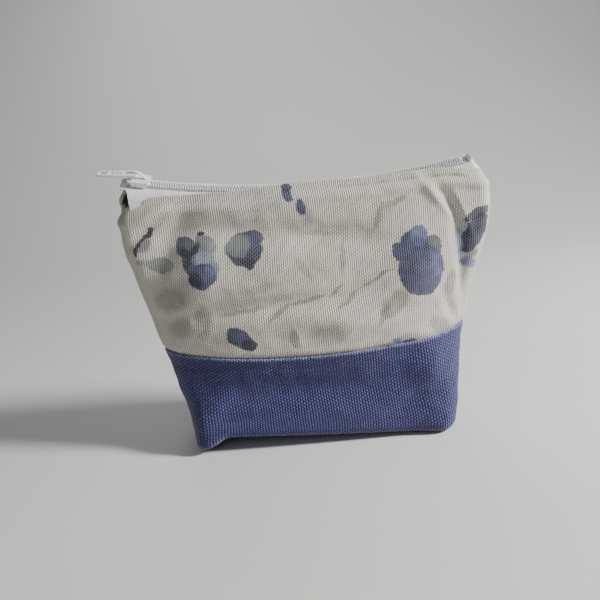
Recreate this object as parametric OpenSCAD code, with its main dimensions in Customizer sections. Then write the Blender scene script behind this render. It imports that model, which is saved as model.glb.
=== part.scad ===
// Small zippered pouch with a boxed base: printed canvas walls above a plain
// woven base band, a lining, and a coil zip with a locking slider.
// The frame: +X along the zip, -Y is the front, +Z up. The origin is the
// centre of the face that the pouch stands on.

/* [Pouch] */
// Width across the top, from side seam to side seam
top_w = 144; // [132:1:152]
// Width of the boxed base
base_w = 102; // [96:1:110]
// Depth of the boxed base, front to back
base_d = 45; // [38:1:50]
// Depth across the top edges of the two walls
mouth_d = 13.6; // [13.2:0.2:15]
// Height of the plain base band
band_h = 37.5; // [30:0.5:44]
// How far the walls belly out at mid height
belly = 4.5; // [1:0.5:7]
// Share of the depth that is lost at the side seams at mid height
pinch = 0.6; // [0.3:0.05:0.6]
// Radius of the fold where the walls turn under
floor_r = 5; // [4:0.5:7]

/* [Zip] */
// Height of the zip's tape at the middle of the pouch
zip_z = 101.4; // [98:0.2:106]
// Radius of the shallow arc that the zip sags along
zip_r = 350; // [320:10:700]
// How far the zip rolls towards the front
zip_roll = 30; // [20:1:34]
// Width of the closed chain
chain_w = 4.2; // [4:0.1:4.5]
// Where the closed slider stands along the zip
slider_x = -64; // [-65:0.5:-60]
// Droop of the pull tab below the line of the zip
pull_droop = 7.5; // [5:0.5:8]

/* [Cloth] */
// Thickness of the canvas and of the band
canvas_t = 0.8; // [0.6:0.05:0.9]
// Thickness of the fleece interlining
fleece_t = 0.8; // [0.4:0.1:0.9]
// Thickness of the lining
lining_t = 0.35; // [0.25:0.05:0.5]
// Thickness of the zip's woven tape
tape_t = 0.5; // [0.4:0.05:0.55]

/* [Hidden] */

front = -1;
back = 1;
left = -1;
right = 1;

floor_swell = 0.8;       // the long edges of the floor bow out this far
wall_z = 105;            // height at which the walls are as deep as the mouth
seam_gap = 0.06;         // half the gap between the front and back halves
fleece_o = canvas_t + 0.25;
lining_o = 3.2;          // the lining hangs this far inside the outer face
edge_drop = 9;           // the lining stops this far below the wall's edge
fleece_drop = 15;        // the interlining stops below the zip's seam allowance

end_n = 2;               // columns on half of an end face
arc_n = 5;               // columns round a corner
face_n = 20;             // columns across the front
wall_n = 12;             // rows up a wall
fold_n = 5;              // rows round the fold at the floor

function lerp(a, b, t) = a + (b - a) * t;
function clamp01(t) = max(0, min(1, t));
function ease(t) = let(c = clamp01(t)) c * c * (3 - 2 * c);

// Height of the zip's centre line over x.
function zip_height(x) = zip_z + zip_r - sqrt(zip_r * zip_r - x * x);

// Top edge of each wall: the front one droops at the corners and hides the
// middle of the zip, the back one follows the zip.
function edge_z(x, side) = side == front
    ? 103.6 - 1.1 * ease((-x - 15) / 30) - 3.9 * ease((-x - 58) / 13)
            + 2.2 * ease((x - 15) / 40) - 1.6 * ease((x - 58) / 13)
    : zip_height(x) - 1.2 - 2.2 * ease((abs(x) - 58) / 14);

// Half width, half depth, corner radius and belly of the pouch at height z.
function half_w(z) = lerp(base_w, top_w, clamp01(z / 88)) / 2;
function half_d(z) = lerp(base_d, mouth_d, z / wall_z) / 2;
function corner_r(z) = lerp(9, 3.6, clamp01(z / 100));
function belly_at(z) = belly * pow(sin(180 * clamp01(z / wall_z)), 2)
    + floor_swell * (1 - clamp01(z / wall_z));

// The walls draw together towards the side seams between the boxed base and
// the zip: moves a point of the plain loft to its place.
function pinched(p) =
    [p[0],
     p[1] * (1 - pinch * pow(sin(180 * clamp01((p[2] - 5) / 90)), 2)
                 * pow(abs(p[0]) / half_w(p[2]), 5)),
     p[2]];

// Depth of the bellied face from the middle at x and height z.
function depth_at(x, z) =
    half_d(z) + belly_at(z) * cos(90 * min(1, abs(x) / (half_w(z) - corner_r(z))));

// Half of a rounded rectangle, from the left side seam round the front to
// the right one.
function half_loop(a, b, r, swell) =
    let(
        flat = a - r,
        end_face = [for (i = [0:end_n - 1])
            [-a, -lerp(seam_gap, b - r, i / end_n)]],
        corner = [for (i = [0:arc_n - 1]) let(t = 90 * i / arc_n)
            [-flat - r * cos(t), -(b - r) - r * sin(t)]],
        face = [for (i = [0:face_n]) let(x = lerp(-flat, flat, i / face_n))
            [x, -b - swell * cos(90 * x / flat)]],
        half = concat(end_face, corner)
    )
    concat(half, face, [for (i = [len(half) - 1:-1:0]) [-half[i][0], half[i][1]]]);

// A row of 3-D points at height z, inset from the outer face by inset.
function row(z, inset) = [
    for (p = half_loop(half_w(z) - inset, half_d(z) - inset,
                       max(0.6, corner_r(z) - inset), belly_at(z)))
        [p[0], p[1], z]
];

// A row at share t of the wall between two heights, whose upper end follows
// the edge of that side less drop.
function wall_row(z0, t, inset, side, drop) =
    let(nominal = lerp(z0, wall_z - drop, t))
    [for (p = row(nominal, inset))
        let(z = lerp(z0, edge_z(p[0], side) - drop, t),
            x = p[0] * (half_w(z) - inset) / (half_w(nominal) - inset),
            y = p[1] * (depth_at(p[0], z) - inset) / (depth_at(p[0], nominal) - inset))
        [x, min(-seam_gap, y), z]];

function wall_rows(z0, inset, side, drop) =
    [for (i = [0:wall_n]) wall_row(z0, i / wall_n, inset, side, drop)];

// Rows from the floor round the fold and up to height z1.
function floor_rows(z1, inset) =
    let(r = floor_r - max(0, inset))
    concat(
        [for (i = [0:fold_n]) let(t = 90 * i / fold_n, z = max(0, inset) + r * (1 - cos(t)))
            [for (p = row(z, inset + r * (1 - sin(t)))) p]],
        [for (i = [1:4]) row(lerp(floor_r, z1, i / 4), inset)]
    );

function flat_list(rows) = [for (r = rows) for (p = r) p];

// A closed sheet of cloth between two grids of points, outer and inner. A
// capped one is closed across its first row, as the floor of the pouch.
module cloth(outer, inner, capped) {
    n = len(outer);
    m = len(outer[0]);
    k = n * m;
    walls = [for (i = [0:n - 2]) for (j = [0:m - 2]) let(a = i * m + j, b = a + m)
        each [[a, b, a + 1], [a + 1, b, b + 1],
              [k + a, k + a + 1, k + b], [k + a + 1, k + b + 1, k + b]]];
    top = [for (j = [0:m - 2]) let(a = (n - 1) * m + j)
        each [[a, k + a, a + 1], [a + 1, k + a, k + a + 1]]];
    sides = [for (i = [0:n - 2]) let(a = i * m, b = a + m, c = a + m - 1, d = c + m)
        each [[a, k + a, b], [b, k + a, k + b],
              [c, d, k + c], [d, k + d, k + c]]];
    mid = (m - 1) / 2;
    bottom = capped
        ? concat(
            [for (j = [0:mid - 1]) let(o = m - 1 - j) each j == mid - 1
                ? [[j, j + 1, o], [k + j, k + o, k + j + 1]]
                : [[j, j + 1, o], [j + 1, o - 1, o],
                   [k + j, k + o, k + j + 1], [k + j + 1, k + o, k + o - 1]]],
            [[0, m - 1, k + m - 1], [0, k + m - 1, k]])
        : [for (j = [0:m - 2]) each [[j, j + 1, k + j], [j + 1, k + j + 1, k + j]]];
    polyhedron([for (p = concat(flat_list(outer), flat_list(inner))) pinched(p)],
               concat(walls, top, sides, bottom), convexity = 8);
}

// The front shapes are drawn as they stand, and the back ones are mirrored.
module on_side(side) {
    if (side == back) mirror([0, 1, 0]) children();
    else children();
}

module panel(side) {
    color("ivory")
    on_side(side)
        cloth(wall_rows(band_h + seam_gap, 0, side, 0),
              wall_rows(band_h + seam_gap, canvas_t, side, 0), false);
}

module base_band(side) {
    color("slateblue")
    on_side(side)
        cloth(floor_rows(band_h, 0),
              floor_rows(band_h, canvas_t), true);
}

// A layer that runs from the floor up to drop below the wall's edge.
module inner_layer(side, inset, thick, drop) {
    on_side(side)
        cloth(concat(floor_rows(band_h, inset),
                     [for (i = [1:wall_n]) wall_row(band_h, i / wall_n, inset, side, drop)]),
              concat(floor_rows(band_h, inset + thick),
                     [for (i = [1:wall_n])
                         wall_row(band_h, i / wall_n, inset + thick, side, drop)]),
              true);
}

module interlining(side) {
    color("white") inner_layer(side, fleece_o, fleece_t, fleece_drop);
}

module lining(side) {
    color("lavender") inner_layer(side, lining_o, lining_t, edge_drop);
}

/* Zip. Profiles are drawn across the zip: first the way back and up along the
   rolled chain or plainly backwards, then upwards. */

// A point of the rolled zip: s across the chain towards the back, h above the
// tape, given as [backwards, upwards] from the zip's centre line.
function rolled(s, h) = [s * cos(zip_roll) - h * sin(zip_roll),
                         s * sin(zip_roll) + h * cos(zip_roll)];

// Sweeps a profile of [backwards, upwards] points along the zip from x0 to x1.
module along_zip(x0, x1, profile) {
    a0 = asin(x0 / zip_r);
    translate([0, 0, zip_z + zip_r])
    rotate([90, 0, 0])
    rotate([0, 0, a0 - 90])
    rotate_extrude(angle = asin(x1 / zip_r) - a0, $fn = 720)
    polygon([for (p = profile) [zip_r - p[1], -p[0]]]);
}

// Sweeps a round thread along the zip.
module thread_along_zip(x0, x1, centre, r) {
    a0 = asin(x0 / zip_r);
    translate([0, 0, zip_z + zip_r])
    rotate([90, 0, 0])
    rotate([0, 0, a0 - 90])
    rotate_extrude(angle = asin(x1 / zip_r) - a0, $fn = 720)
    translate([zip_r - centre[1], -centre[0]])
    circle(r = r, $fn = 24);
}

// Places what is drawn at the origin on the zip at x, with +X along the zip,
// +Y across it towards the back and +Z out of it.
module on_zip(x) {
    translate([0, 0, zip_z + zip_r])
    rotate([0, -asin(x / zip_r), 0])
    translate([0, 0, -zip_r])
    rotate([zip_roll, 0, 0])
    children();
}

tape_split = 0.35;       // half the gap between the two tapes
tape_flat = [3.8, 4.6];  // half width of the flat run, front and back
tape_end = 69;           // the flat run ends here
tape_seam_end = 58;      // the seam allowance ends here
zip_seam_end = 52;       // the sewing of the zip's seam ends here
coil_split = 0.3;        // half the gap in which the slider's wedge runs
coil_h = 1.25;
chain_end = 66.5;

// The tape turns down past its flat run, into the seam and on inside the wall.
front_turn = [[-4.9, -4], [-6.5, -6.5], [-7.5, -12]];
back_turn = [[5.5, -1.4], [6.3, -6], [7.5, -12]];

module tape(side) {
    edge = side * tape_flat[side == front ? 0 : 1];
    turn = side == front ? front_turn : back_turn;
    color("white") {
        along_zip(-tape_end, tape_end, [
            rolled(side * tape_split, 0), rolled(edge, 0),
            rolled(edge - side * 0.25, -tape_t), rolled(side * tape_split, -tape_t)
        ]);
        // The turned run starts inside the flat one and is thickened inwards.
        along_zip(-tape_seam_end, tape_seam_end, concat(
            [rolled(edge - side, -0.24 * tape_t), rolled(edge - side * 0.1, -0.2 * tape_t)],
            turn,
            [for (i = [2:-1:0]) [turn[i][0] - side * tape_t, turn[i][1] - (i == 2 ? 0 : 0.1)]],
            [rolled(edge - side * 0.5, -0.8 * tape_t), rolled(edge - side, -0.76 * tape_t)]
        ));
    }
}

module coil(side) {
    color("whitesmoke")
    along_zip(-chain_end, chain_end, [
        rolled(side * coil_split, 0.02),
        rolled(side * chain_w / 2, 0.02),
        rolled(side * chain_w / 2, coil_h * 0.6),
        rolled(side * (chain_w / 2 - 0.35), coil_h),
        rolled(side * (coil_split + 0.15), coil_h),
        rolled(side * coil_split, coil_h * 0.7)
    ]);
}

// The sewing that holds each coil to its tape runs in a line beside it.
module coil_stitching(side) {
    color("white")
    thread_along_zip(-chain_end, chain_end, rolled(side * (chain_w / 2 + 0.17), 0.16), 0.14);
}

// The stitching of tape, wall and lining, between the wall and the tape.
module zip_seam_thread(side) {
    color("white")
    thread_along_zip(-zip_seam_end, zip_seam_end,
                     side == front ? [-6.77, -6.9] : [6.68, -6.9], 0.12);
}

// A straight thread between two points.
module thread(p, q) {
    d = q - p;
    h = norm(d);
    translate(p)
    rotate([0, acos(d[2] / h), atan2(d[1], d[0])])
    cylinder(r = 0.2, h = h, $fn = 24);
}

// The seam threads lie between the interlining and the lining.
thread_o = 2.4;

module side_seam_thread(side) {
    color("white")
    thread([side * (half_w(8) - thread_o), 0, 8],
           [side * (half_w(87) - thread_o), 0, 87]);
}

module bottom_seam_thread() {
    color("white")
    thread([-(base_w / 2 - 9), 0, thread_o], [base_w / 2 - 9, 0, thread_o]);
}

module band_seam_thread(side) {
    a = half_w(band_h) - corner_r(band_h);
    steps = 10;
    color("white")
    for (i = [0:steps - 1])
        thread(band_seam_point(side, lerp(-a, a, i / steps)),
               band_seam_point(side, lerp(-a, a, (i + 0.96) / steps)));
}

function band_seam_point(side, x) =
    let(a = half_w(band_h) - corner_r(band_h))
    pinched([x, side * (half_d(band_h) + belly_at(band_h) * cos(90 * x / a) - thread_o - 0.1),
             band_h]);

/* Stops. Each top stop is clipped round one tape's edge, and the bottom stop
   holds both together past the last turns of the coil. */
stop_l = 1.4;
stop_gap = 0.1;

module top_stop(side) {
    color("silver")
    on_zip(-tape_end + 0.4 + stop_l / 2)
    translate([-stop_l / 2, side == front ? -2.1 : 0.7, stop_gap])
    cube([stop_l, 1.4, 0.8]);
}

module bottom_stop() {
    color("silver")
    on_zip(chain_end + 0.4 + stop_l / 2) {
        translate([-stop_l / 2, -2.2, stop_gap]) cube([stop_l, 4.4, 1.1]);
    }
}

/* Slider. Its nose points to -X: it closes the zip as it moves that way. */
slider_l = 9;
nose_w = 7.2;
tail_w = 6.3;
plate_t = 1;
top_plate_z = coil_h + 0.3;
under_plate_z = -tape_t - 0.3;
wedge_t = 0.4;
pivot_z = top_plate_z + plate_t + 1.8;
pivot_x = -1;
bar_r = 0.55;

// Outline of a plate: wide shoulders at the nose and a narrower tail.
module plate_outline() {
    r = 1.4;
    polygon(concat(
        corner_arc(-slider_l / 2 + r, nose_w / 2 - r, r, 90, 180),
        corner_arc(-slider_l / 2 + r, -nose_w / 2 + r, r, 180, 270),
        corner_arc(slider_l / 2 - r, -tail_w / 2 + r, r, 270, 360),
        corner_arc(slider_l / 2 - r, tail_w / 2 - r, r, 0, 90)
    ));
}

function corner_arc(x, y, r, a0, a1) =
    [for (i = [0:6]) let(t = lerp(a0, a1, i / 6)) [x + r * cos(t), y + r * sin(t)]];

module slider_body() {
    color("white")
    on_zip(slider_x) {
        translate([0, 0, top_plate_z]) linear_extrude(plate_t) plate_outline();
        translate([0, 0, under_plate_z - plate_t * 0.8])
            linear_extrude(plate_t * 0.8) plate_outline();
        // Flanges that keep the coils between the plates.
        for (s = [-1, 1])
            translate([-slider_l / 2 + 1.2, s * (chain_w / 2 + 0.82) - 0.2, 0.3])
                cube([slider_l - 2.4, 0.4, top_plate_z]);
        // The wedge that parts the coils and ties the plates together.
        translate([-slider_l / 2 + 0.5, -wedge_t / 2, under_plate_z - 0.1])
            cube([3, wedge_t, top_plate_z - under_plate_z + 0.2]);
        // Feet that hold the crown.
        for (x = [-3.4, 2.8])
            translate([x - 0.5, -0.7, top_plate_z + plate_t - 0.1])
                cube([1, 1.4, 0.35]);
    }
}

// The crown is a bent strip over the pull's bar.
module slider_crown() {
    color("silver")
    on_zip(slider_x)
    translate([0, 0, top_plate_z + plate_t + 0.27])
    rotate([90, 0, 0])
    translate([0, 0, -0.55])
    linear_extrude(1.1)
    polygon([
        [-3.9, 0], [-3.9, 0.45], [-3.1, 0.6], [-2.6, 2.4], [-1.9, 3], [-0.2, 3],
        [1, 2.5], [2.6, 0.85], [3.3, 0.5], [3.3, 0],
        [2.5, 0], [2.1, 0.4], [0.7, 2.05], [-0.3, 2.5], [-1.7, 2.5], [-2.15, 2.1],
        [-2.6, 0.2], [-2.9, 0]
    ]);
}

pull_l = 15.3;
pull_w = 4.2;
tip_w = 3.2;
pull_t = 0.8;
eye_w = 1.9;
eye_l = 4.6;

// The pull is drawn lying towards -X with its bar's axis through the origin.
module pull_shape() {
    rotate([90, 0, 0]) translate([0, 0, -pull_w / 2])
        cylinder(r = bar_r, h = pull_w, $fn = 32);
    translate([0, 0, -pull_t / 2])
    linear_extrude(pull_t)
    difference() {
        polygon(concat(
            [[0, pull_w / 2]],
            corner_arc(-pull_l + 1.3, tip_w / 2 - 1.3, 1.3, 90, 180),
            corner_arc(-pull_l + 1.3, -tip_w / 2 + 1.3, 1.3, 180, 270),
            [[0, -pull_w / 2]]
        ));
        polygon([[1, eye_w / 2], [-eye_l, eye_w / 2], [-eye_l, -eye_w / 2], [1, -eye_w / 2]]);
        translate([-pull_l + 2, 0]) circle(d = 1.8, $fn = 32);
        translate([-pull_l + 3.6, 0]) circle(d = 1.8, $fn = 32);
        translate([-pull_l + 2, -0.9]) square([1.6, 1.8]);
    }
}

module pull_tab() {
    color("white")
    on_zip(slider_x)
    translate([pivot_x, 0, pivot_z])
    rotate([0, -pull_droop, 0])
    pull_shape();
}

panel(front);  // front_panel
panel(back);  // back_panel
base_band(front);  // front_base_band
base_band(back);  // back_base_band
interlining(front);  // front_interlining
interlining(back);  // back_interlining
lining(front);  // front_lining
lining(back);  // back_lining
tape(front);  // front_zip_tape
tape(back);  // back_zip_tape
coil(front);  // front_zip_coil
coil(back);  // back_zip_coil
coil_stitching(front);  // front_coil_stitching
coil_stitching(back);  // back_coil_stitching
zip_seam_thread(front);  // front_zip_seam_thread
zip_seam_thread(back);  // back_zip_seam_thread
side_seam_thread(left);  // left_side_seam_thread
side_seam_thread(right);  // right_side_seam_thread
bottom_seam_thread();
band_seam_thread(front);  // front_band_seam_thread
band_seam_thread(back);  // back_band_seam_thread
top_stop(front);  // front_top_stop
top_stop(back);  // back_top_stop
bottom_stop();
slider_body();
slider_crown();
pull_tab();
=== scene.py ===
import math

import bpy
import numpy as np
from bpy.props import FloatProperty, FloatVectorProperty, PointerProperty
from mathutils import Matrix, Vector, noise


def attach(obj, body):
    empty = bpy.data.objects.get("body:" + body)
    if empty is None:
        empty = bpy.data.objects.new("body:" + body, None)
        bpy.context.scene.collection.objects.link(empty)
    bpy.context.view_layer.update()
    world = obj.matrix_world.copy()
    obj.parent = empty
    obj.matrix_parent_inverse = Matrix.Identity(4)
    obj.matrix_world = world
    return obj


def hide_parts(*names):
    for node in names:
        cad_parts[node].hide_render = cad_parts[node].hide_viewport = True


bl_info = {
    "name": "Zippered Pouch",
    "version": (1, 0, 0),
    "blender": (4, 5, 0),
    "location": "View3D > Sidebar > Pouch",
    "description": "Makes a small boxed cloth pouch with a printed canvas wall and a coil zip",
    "category": "Add Mesh",
}

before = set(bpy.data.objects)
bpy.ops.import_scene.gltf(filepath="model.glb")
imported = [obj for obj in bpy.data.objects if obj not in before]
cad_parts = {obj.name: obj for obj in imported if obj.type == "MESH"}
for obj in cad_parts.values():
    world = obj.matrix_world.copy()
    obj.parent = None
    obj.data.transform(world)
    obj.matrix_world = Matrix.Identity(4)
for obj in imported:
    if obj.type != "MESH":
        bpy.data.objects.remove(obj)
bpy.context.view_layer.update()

MM = 0.001
FRONT, BACK = -1, 1
HALVES = ((FRONT, "front"), (BACK, "back"))

# The zip sags along an arc, and is rolled a little towards the front.
ZIP_Z = 101.4
ZIP_R = 350.0
ZIP_ROLL = math.radians(30)
CHAIN_END = 66.5
SLIDER_X = -64.0
TOP_STOP_X = -67.9
BOTTOM_STOP_X = 67.6
COIL_H = 1.25
TAPE_T = 0.5


def colour(name, text, value):
    return FloatVectorProperty(
        name=name, description=text, subtype="COLOR", size=3, min=0, max=1, default=value
    )


def length(name, text, value):
    return FloatProperty(name=name, description=text, subtype="DISTANCE", unit="LENGTH",
                         default=value, min=0, precision=5)


class PouchSizes(bpy.types.PropertyGroup):
    canvas_thickness: length("Canvas", "Thickness of the canvas and band cloth", 0.0007)
    edge_roll: length("Edge roll", "Radius of the turned edge along the zip", 0.0009)
    rib_pitch: length("Canvas rib", "Pitch of the ribs in the canvas weave", 0.00086)
    band_pitch: length("Band rib", "Pitch of the ribs in the band's weave", 0.00108)
    coil_pitch: length("Coil pitch", "Distance from one turn of the zip's coil to the next", 0.00095)
    wrinkle: length("Wrinkles", "Height of the small wrinkles in the cloth", 0.00022)


class PouchColours(bpy.types.PropertyGroup):
    canvas: colour("Canvas", "Unprinted canvas", (0.70, 0.66, 0.58))
    indigo: colour("Indigo", "Dark petals", (0.026, 0.031, 0.098))
    deep: colour("Deep", "Darkest dye", (0.010, 0.012, 0.042))
    blue: colour("Blue", "Lighter petals", (0.085, 0.105, 0.235))
    wash: colour("Wash", "Pale blue wash in the petals", (0.30, 0.35, 0.50))
    leaf: colour("Leaf", "Grey-green leaves", (0.20, 0.225, 0.225))
    taupe: colour("Taupe", "Stems and faint leaves", (0.19, 0.165, 0.125))
    band: colour("Band", "Main yarn of the band", (0.032, 0.031, 0.108))
    band_weft: colour("Band weft", "Lighter yarn of the band", (0.118, 0.122, 0.275))
    zip: colour("Zip", "Tape and coil", (0.80, 0.80, 0.79))
    enamel: colour("Slider", "Enamel on the slider and pull", (0.82, 0.82, 0.81))
    lining: colour("Lining", "Lining cloth", (0.62, 0.62, 0.68))


def sizes():
    return bpy.context.scene.pouch_sizes


def colours():
    return bpy.context.scene.pouch_colours


# ---------------------------------------------------------------- shape of the cloth

WALL_Z = 105.0
BAND_Z = 37.5
FLOOR_R = 5.0
FLEECE_T = 0.0008
LINING_T = 0.00035
WALL_COLUMNS = 250
INNER_COLUMNS = 170
# The least distance, in mm, of either half's cloth from the plane where they meet.
MEETING = 0.05


def ease(t):
    t = np.clip(t, 0, 1)
    return t * t * (3 - 2 * t)


def hump(away, width):
    """1 at the middle, dying off on both sides within about twice the width."""
    return np.exp(-((away / width) ** 2))


def outline(heights, reach):
    """A smooth outline through reach at the given heights, as a lookup over z."""
    z = np.linspace(-10, 120, 261)
    x = np.interp(z, heights, reach)
    for _ in range(3):
        x = np.convolve(np.pad(x, 8, "edge"), np.ones(17) / 17, "valid")
    return lambda at: np.interp(at, z, x)


left_reach = outline([0, 8, 21, 35, 54, 77, 90, 98, 105],
                     [48.5, 50.6, 54.9, 59.2, 65, 71.0, 72.8, 72.4, 71.6])
right_reach = outline([0, 6, 20, 30, 39, 54, 66, 78, 90, 99, 105],
                      [55.0, 57.4, 59.6, 61, 62.6, 66.4, 69.3, 72.4, 75.4, 73.8, 71.4])


def left_x(z):
    return -left_reach(z)


def right_x(z):
    return right_reach(z)


def half_depth(z):
    return 22.5 + (6.8 - 22.5) * np.clip(z / WALL_Z, 0, 1)


def zip_height(x):
    return ZIP_Z + ZIP_R - np.sqrt(ZIP_R**2 - np.asarray(x, float) ** 2)


def edge_height(x, side):
    """Top edge of a wall: the front one droops to the left, the back one follows the zip."""
    x = np.asarray(x, float)
    if side == FRONT:
        return (103.0 - 1.7 * ease((-x - 2) / 26) - 3.4 * ease((-x - 58) / 13)
                + 1.6 * ease((x - 15) / 40) - 1.4 * ease((x - 58) / 13))
    return zip_height(x) - 0.9 - 2.2 * ease((np.abs(x) - 58) / 14)


def band_top(x):
    """The band's upper edge rises towards the side seams."""
    return BAND_Z - 0.6 + 3.5 * ((np.asarray(x, float) + 4) / 58) ** 2


def section(z, count, inset=0.0):
    """Half of the pouch's section at height z, from the left seam round the front to the right
    one, as evenly spaced points and their outward normals."""
    x0, x1 = float(left_x(z)), float(right_x(z))
    a, cx = (x1 - x0) / 2, (x1 + x0) / 2
    b = float(half_depth(z))
    r = min(9 + (4.5 - 9) * min(z / 98, 1), b - 0.4)
    swell = 4.2 * math.sin(math.pi * min(z / WALL_Z, 1)) ** 2 + 0.8 * (1 - min(z / WALL_Z, 1))
    flat = a - r
    t = np.radians(np.linspace(0, 90, 24))
    xs = [np.full(12, -a), -flat - r * np.cos(t), np.linspace(-flat, flat, 90)[1:-1]]
    ys = [np.linspace(0, b - r, 13)[:-1], b - r + r * np.sin(t),
          b + swell * np.cos(np.pi / 2 * xs[2] / flat)]
    x = np.concatenate([xs[0], xs[1], xs[2], -xs[1][::-1], -xs[0][::-1]])
    y = np.concatenate([ys[0], ys[1], ys[2], ys[1][::-1], ys[0][::-1]])
    # The walls draw together towards the side seams above the boxed base.
    y = y * (1 - 0.6 * math.sin(math.pi * min(max((z - 5) / 90, 0), 1)) ** 2 * (np.abs(x) / a) ** 5)
    d = np.concatenate([[0], np.cumsum(np.hypot(np.diff(x), np.diff(y)))])
    s = np.linspace(0, d[-1], count)
    px, py = np.interp(s, d, x), np.interp(s, d, y)
    tx, ty = np.gradient(px), np.gradient(py)
    for _ in range(2):
        tx[1:-1] = (tx[:-2] + 2 * tx[1:-1] + tx[2:]) / 4
        ty[1:-1] = (ty[:-2] + 2 * ty[1:-1] + ty[2:]) / 4
    tx[[0, -1]], ty[[0, -1]] = 0, [1, -1]
    n = np.hypot(tx, ty)
    nx, ny = -ty / n, tx / n
    return (px - inset * nx + cx, py - inset * ny, nx, ny, s - d[-1] / 2, np.full(count, d[-1] / 2))


def lump(x, z, at, size, turn, height):
    c, s = math.cos(math.radians(turn)), math.sin(math.radians(turn))
    u, v = (x - at[0]) * c + (z - at[1]) * s, -(x - at[0]) * s + (z - at[1]) * c
    return height * np.exp(-((u / size[0]) ** 2) - (v / size[1]) ** 2)


# Soft bulges and creases: place (x, z), reach along and across, turn in degrees, height.
# The ones that reach further across than BROAD stand higher by BROAD_GAIN.
BROAD, BROAD_GAIN = 3, 1.3
FRONT_FOLDS = (
    ((-14, 95), (40, 4.5), 3, 1.1),
    ((-10, 84), (34, 5), -5, -2.0),
    ((-22, 71), (30, 6.5), 8, 1.9),
    ((-14, 58), (38, 3.6), 4, -1.7),
    ((18, 76), (16, 10), -30, -0.8),
    ((42, 68), (14, 15), 0, 2.2),
    ((58, 90), (12, 2.2), -60, -1.6),
    ((51, 95), (11, 1.8), -52, 1.0),
    ((63, 85), (11, 1.7), -70, 0.9),
    ((61, 68), (22, 2.6), -84, -2.0),
    ((56, 50), (8, 2.2), -60, -1.2),
    ((12, 50), (30, 5), -6, 1.1),
    ((-54, 84), (18, 5), 62, -1.5),
    ((-45, 62), (20, 7), 70, 1.2),
    ((-61, 95), (10, 2.2), 24, 1.0),
    ((-63, 89), (12, 2.0), 38, -1.1),
    ((-2, 23), (44, 8), 0, -2.6),
    ((46, 28), (8, 11), 0, 2.2),
    ((38, 15), (12, 3), 28, -1.0),
    ((-44, 17), (13, 4.5), 38, 1.8),
    ((-30, 12), (16, 3), 14, -1.2),
)
BACK_FOLDS = (
    ((18, 90), (30, 6), 3, 1.2),
    ((22, 76), (32, 5), 6, -1.6),
    ((26, 62), (26, 8), -8, 1.4),
    ((-38, 72), (16, 16), 0, 1.5),
    ((-58, 84), (12, 3), 60, -1.4),
    ((56, 82), (12, 3), -60, -1.2),
    ((0, 52), (40, 4), -2, -1.2),
    ((4, 22), (42, 9), 0, -2.0),
    ((-46, 24), (8, 10), 0, 1.6),
    ((44, 18), (12, 5), -30, 1.4),
)


def relief(x, z, nx, arc, half, side):
    """How far the cloth stands off its plain loft, in mm."""
    total = np.zeros_like(x)
    facing = np.clip(1.15 - nx**2, 0, 1)
    for at, size, turn, height in FRONT_FOLDS if side == FRONT else BACK_FOLDS:
        gain = BROAD_GAIN if size[1] > BROAD else 1
        total += lump(x, z, at, size, turn, height * gain) * facing
    seam = half - np.abs(arc)
    total -= 1.0 * hump(seam, 1.3)
    total += 0.35 * hump(seam - 3, 2)
    # The boxed corners' seams cross the ends low down.
    total -= 0.9 * hump(z - 5, 1.1) * np.clip(nx**2 * 2 - 1, 0, 1)
    seed = 0 if side == FRONT else 40
    amp = sizes().wrinkle / MM
    for i in range(x.shape[0]):
        for j in range(x.shape[1]):
            p = Vector((arc[i, j] * 0.06, z[i, j] * 0.10, seed))
            q = Vector((arc[i, j] * 0.16, z[i, j] * 0.22, seed + 9))
            total[i, j] += amp * (2.2 * noise.noise(p) + 1.1 * noise.noise(q))
    return total


def settle(rows, side):
    """The boxed corners poke out a little, and between them the front fold lifts off the table."""
    out = []
    for x, y, z in (p.T for p in rows):
        out_x, out_y = np.zeros_like(x), np.zeros_like(y)
        for sx, reach in ((-1, 3.4), (1, 2.2)):
            near = np.exp(-(((x - sx * 48) / 7.5) ** 2) - ((y - 19) / 7.5) ** 2 - ((z - 3) / 8) ** 2)
            out_x += sx * reach * 0.55 * near
            out_y += reach * 0.9 * near
        high = np.maximum(0.5, 5.2 - 0.062 * (x + 33)) if side == FRONT else 2.0
        between = ease((x + 48) / 12) * ease((54 - x) / 12)
        lift = high * between * ease((y - 6) / 12) * (1 - ease(z / 16))
        out.append(np.stack([x + out_x, np.maximum(y + out_y, MEETING), np.maximum(z + lift, 0.0)], 1))
    return out


def mode(name):
    bpy.ops.object.mode_set(mode=name)


def only(obj):
    """Selects obj alone and makes it active."""
    if bpy.context.object and bpy.context.object.mode != "OBJECT":
        mode("OBJECT")
    bpy.ops.object.select_all(action="DESELECT")
    obj.select_set(True)
    bpy.context.view_layer.objects.active = obj


def modify(obj, kind, **settings):
    """Gives obj a modifier with these settings and applies it."""
    only(obj)
    mod = obj.modifiers.new(kind.title(), kind)
    for key, value in settings.items():
        setattr(mod, key, value)
    bpy.ops.object.modifier_apply(modifier=mod.name)


def add_object(name, data, material=None):
    obj = bpy.data.objects.new(name, data)
    bpy.context.collection.objects.link(obj)
    if material:
        data.materials.append(material)
    return obj


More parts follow.
